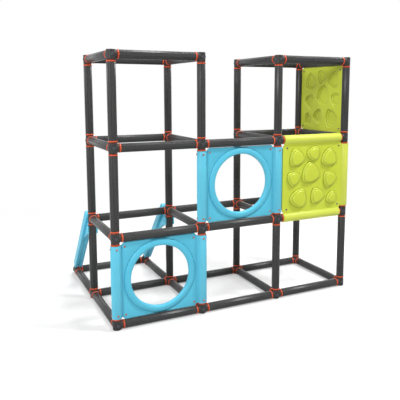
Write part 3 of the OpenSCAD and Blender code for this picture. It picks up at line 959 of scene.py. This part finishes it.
def make_crawl_screws(name, cell, place):
    i, k = cell
    screws = Moulding()
    for x in (-1, 1):
        for y in (-1, 1):
            at = (x * (PITCH_X / 2 - FIELD_SCREW_IN), y * (PITCH_Z / 2 - FIELD_SCREW_IN), CRAWL_T / 2)
            add_screw(screws, place @ Matrix.Translation(at), CRAWL_T + FIELD_SCREW_TAIL, CRAWL_T)
    for side in (-1, 1):
        for level in (WRAP_SCREW_AT, PITCH_Z - WRAP_SCREW_AT):
            axis = Matrix.Translation(grid(i + (side + 1) // 2, 0, k) + Vector((0, 0, level)))
            for d in ((0, -1, 0), (side, 0, 0)):
                seat = axis @ towards(d) @ Matrix.Translation((0, 0, WRAP_R))
                add_screw(screws, seat, WRAP_R - TUBE_BORE_R)
    piece(name + "_turned", screws.mesh(name), [SCREW_ORANGE], "screw_orange", name)


def make_climbing_screws(name, place, width):
    screws = Moulding()
    for x in (FREE_SCREW_IN - width / 2, width / 2 - FIELD_SCREW_IN):
        for y in (-1, 1):
            at = (x, y * (PITCH_Z / 2 - FIELD_SCREW_IN), CLIMB_FORWARD + CLIMB_T)
            add_screw(screws, place @ Matrix.Translation(at), CLIMB_T + FIELD_SCREW_TAIL, CLIMB_T)
    piece(name + "_turned", screws.mesh(name), [SCREW_GREY], "screw_grey", name)


# Braces
def brace_bar():
    """The bar with its groove, rounded over at the head. A layer is a height, a share of the width and a
    share of the depth."""
    w, d, g = BRACE_W / 2, BRACE_D / 2, GROOVE_W / 2
    section = rounded([
        (-w, -d), (-g, -d, 1.0), (-g, GROOVE_D - d, 0.8), (g, GROOVE_D - d, 0.8), (g, -d, 1.0),
        (w, -d), (w, d), (-w, d),
    ], BRACE_CORNER_R)
    layers = [(BRACE_START, 0.95, 0.95), (BRACE_START + 0.6, 0.985, 0.985), (BRACE_START + 2.0, 1.0, 1.0)]
    for a in range(0, 90, 9):
        turn = math.radians(a)
        layers.append((BRACE_LEN + d * math.sin(turn), 1.0 - 0.04 * math.sin(turn) ** 3, math.cos(turn)))
    layers.append((BRACE_LEN + d, 0.93, 0.04))
    points = [(sx * x, sy * y, z) for z, sx, sy in layers for x, y in section]
    return points, strips(len(layers), len(section), capped=True)


def brace_clip():
    """The clip around the post, open to the front."""
    mouth = CLIP_MOUTH / 2
    outer = arc((0, 0), CLIP_R, mouth - 90, 270 - mouth, steps=30)
    inner = arc((0, 0), WRAP_IN_R, 270 - mouth - CLIP_BEVEL, mouth - 90 + CLIP_BEVEL, steps=30)
    return extruded(outer + inner, -CLIP_TOP - CLIP_H, -CLIP_TOP, CLIP_EASE)


def brace_web():
    """The web that carries the clip, drawn from the side: back as X, up as Y."""
    start = CLIP_R - WEB_OVERLAP
    slope = math.tan(BRACE_ANGLE)
    inner = HEAD_BACK - BRACE_D / 2 * math.sin(BRACE_ANGLE)
    corners = [
        (start, -CLIP_TOP), (start, -CLIP_TOP - CLIP_H),
        (inner + (CLIP_TOP + CLIP_H + WEB_DROP + HEAD_UP) / slope, -CLIP_TOP - CLIP_H - WEB_DROP),
        (inner + (CLIP_TOP + HEAD_UP) / slope, -CLIP_TOP),
    ]
    return extruded(rounded(corners, WEB_CORNER_R), -WEB_T / 2, WEB_T / 2, WEB_EASE)


def make_brace(name, i):
    brace = Moulding()
    brace.add(*brace_bar(), Matrix.Translation(grid(i, REAR_ROW, 0)) @ along_brace())
    head = Matrix.Translation(grid(i, BACK_ROW, 1))
    brace.add(*brace_clip(), head)
    sideways = Matrix(((0, 0, 1, 0), (1, 0, 0, 0), (0, 1, 0, 0), (0, 0, 0, 1)))
    brace.add(*brace_web(), head @ sideways)
    piece(name + "_moulded", brace.mesh(name), [BRACE_BLUE], "brace_blue", name)


# Floor, light and camera
FLOOR_REACH, FADE_START, FADE_END = 14.0, 1.1, 2.4
FLOOR_TONE = 0.52
FLOOR_LIFT = 0.365
WORLD_LIGHT = 0.24
SENSOR_W, LENS = 36.0, 48.02
VIEW_SHIFT = (-0.03485, -0.10155)
VIEW_FROM = (-1.1913, -2.5298, 1.0127)
VIEW_DIP, VIEW_TURN = 7.2954, 26.3145


def seen_rays(tree):
    """1 where the camera looks, directly, in a reflection or through a clear piece, and 0 for other light."""
    path = tree.nodes.new("ShaderNodeLightPath")
    mirrored = math_node(tree, "ADD", path.outputs["Is Camera Ray"], path.outputs["Is Glossy Ray"])
    return math_node(tree, "ADD", mirrored, path.outputs["Is Transmission Ray"], clamp=True)


def studio_floor():
    """The floor's finish: pale and matt near the gym, so that its shadow shows, and plain white far out."""
    pale = bpy.data.materials.new("studio_floor")
    pale.use_nodes = True
    tree = pale.node_tree
    tree.nodes.remove(tree.nodes["Principled BSDF"])
    matt = tree.nodes.new("ShaderNodeBsdfDiffuse")
    matt.inputs["Color"].default_value = (FLOOR_TONE, FLOOR_TONE, FLOOR_TONE, 1)
    ray = seen_rays(tree)
    lift = tree.nodes.new("ShaderNodeEmission")
    tree.links.new(math_node(tree, "MULTIPLY", ray, FLOOR_LIFT), lift.inputs["Strength"])
    near = tree.nodes.new("ShaderNodeAddShader")
    tree.links.new(matt.outputs[0], near.inputs[0])
    tree.links.new(lift.outputs[0], near.inputs[1])
    white = tree.nodes.new("ShaderNodeEmission")
    place = tree.nodes.new("ShaderNodeNewGeometry").outputs["Position"]
    far = tree.nodes.new("ShaderNodeVectorMath")
    far.operation = "LENGTH"
    tree.links.new(place, far.inputs[0])
    fade = remap(tree, far.outputs["Value"], FADE_START, FADE_END)
    out = tree.nodes.new("ShaderNodeMixShader")
    tree.links.new(math_node(tree, "MULTIPLY", fade, ray), out.inputs["Fac"])
    tree.links.new(near.outputs[0], out.inputs[1])
    tree.links.new(white.outputs[0], out.inputs[2])
    tree.links.new(out.outputs[0], tree.nodes["Material Output"].inputs["Surface"])
    return pale


def make_floor():
    mesh = bpy.data.meshes.new("floor")
    corners = [(x * FLOOR_REACH, y * FLOOR_REACH, 0) for x, y in ((-1, -1), (1, -1), (1, 1), (-1, 1))]
    mesh.from_pydata(corners, [], [(0, 1, 2, 3)])
    mesh.materials.append(studio_floor())
    floor = bpy.data.objects.new("floor", mesh)
    bpy.context.scene.collection.objects.link(floor)


def make_world():
    """White studio walls: full white where the camera sees them, softer as light."""
    world = bpy.data.worlds.new("studio")
    bpy.context.scene.world = world
    world.use_nodes = True
    tree = world.node_tree
    soft = tree.nodes["Background"]
    soft.inputs["Color"].default_value = (1, 1, 1, 1)
    soft.inputs["Strength"].default_value = WORLD_LIGHT
    seen = tree.nodes.new("ShaderNodeBackground")
    seen.inputs["Color"].default_value = (1, 1, 1, 1)
    both = tree.nodes.new("ShaderNodeMixShader")
    tree.links.new(seen_rays(tree), both.inputs["Fac"])
    tree.links.new(soft.outputs[0], both.inputs[1])
    tree.links.new(seen.outputs[0], both.inputs[2])
    tree.links.new(both.outputs[0], tree.nodes["World Output"].inputs["Surface"])


def make_lamp(name, at, aim, width, power):
    """A square soft box that faces a point."""
    box = bpy.data.lights.new(name, "AREA")
    box.shape, box.size, box.energy = "SQUARE", width, power
    lamp = bpy.data.objects.new(name, box)
    bpy.context.scene.collection.objects.link(lamp)
    lamp.location = at
    lamp.rotation_mode = "QUATERNION"
    lamp.rotation_quaternion = (Vector(aim) - Vector(at)).to_track_quat("-Z", "Y")


def make_light():
    make_world()
    make_lamp("overhead_box", at=(0.3, 0.0, 4.2), aim=(0, 0, 0.4), width=1.2, power=112)
    make_lamp("key_box", at=(2.2, -2.0, 4.2), aim=(0, 0, 0.6), width=0.6, power=160)
    make_lamp("right_box", at=(3.2, 1.4, 2.4), aim=(0, 0, 0.5), width=0.8, power=45)
    make_lamp("left_box", at=(-3.2, -2.8, 2.2), aim=(0, 0, 0.6), width=1.0, power=112)
    make_lamp("fill_box", at=(-3.2, 0.4, 2.0), aim=(0.6, -0.2, 0.95), width=0.8, power=28)


def make_camera():
    """The photograph's viewpoint, fitted to the frame's grid."""
    eye = bpy.data.cameras.new("photo_view")
    eye.sensor_width, eye.lens = SENSOR_W, LENS
    eye.shift_x, eye.shift_y = VIEW_SHIFT
    stand = bpy.data.objects.new("photo_view", eye)
    bpy.context.scene.collection.objects.link(stand)
    stand.location = VIEW_FROM
    stand.rotation_euler = (math.radians(90 - VIEW_DIP), 0, math.radians(-VIEW_TURN))
    bpy.context.scene.camera = stand


make_tubes()
make_connectors("ground_connectors", connectors_of(0, (0, BACK_ROW)))
make_connectors("brace_foot_connectors", connectors_of(0, (REAR_ROW,)))
for label, k in LEVELS[1:]:
    make_connectors(f"{label}_connectors", connectors_of(k, (0, BACK_ROW)))
for axis, label in enumerate(("beam", "cross", "post")):
    make_rings(f"{label}_rings", axis)
make_brace_rings()
for label, cell in (("lower", (0, 0)), ("upper", (1, 1))):
    make_crawl_panel(f"{label}_crawl_panel", cell_place(*cell))
    make_crawl_screws(f"{label}_crawl_screws", cell, cell_place(*cell))
for label, place, width in (("front", cell_place(2, 1), PITCH_X), ("side", side_place(2), PITCH_Y)):
    make_climbing_panel(f"{label}_climbing_panel", place, width)
    make_climbing_screws(f"{label}_climbing_screws", place, width)
for label, column in zip(("left", "right"), BRACE_COLUMNS):
    make_brace(f"{label}_brace", column)
make_floor()
make_light()
make_camera()

bpy.context.scene.view_settings.view_transform = "Standard"
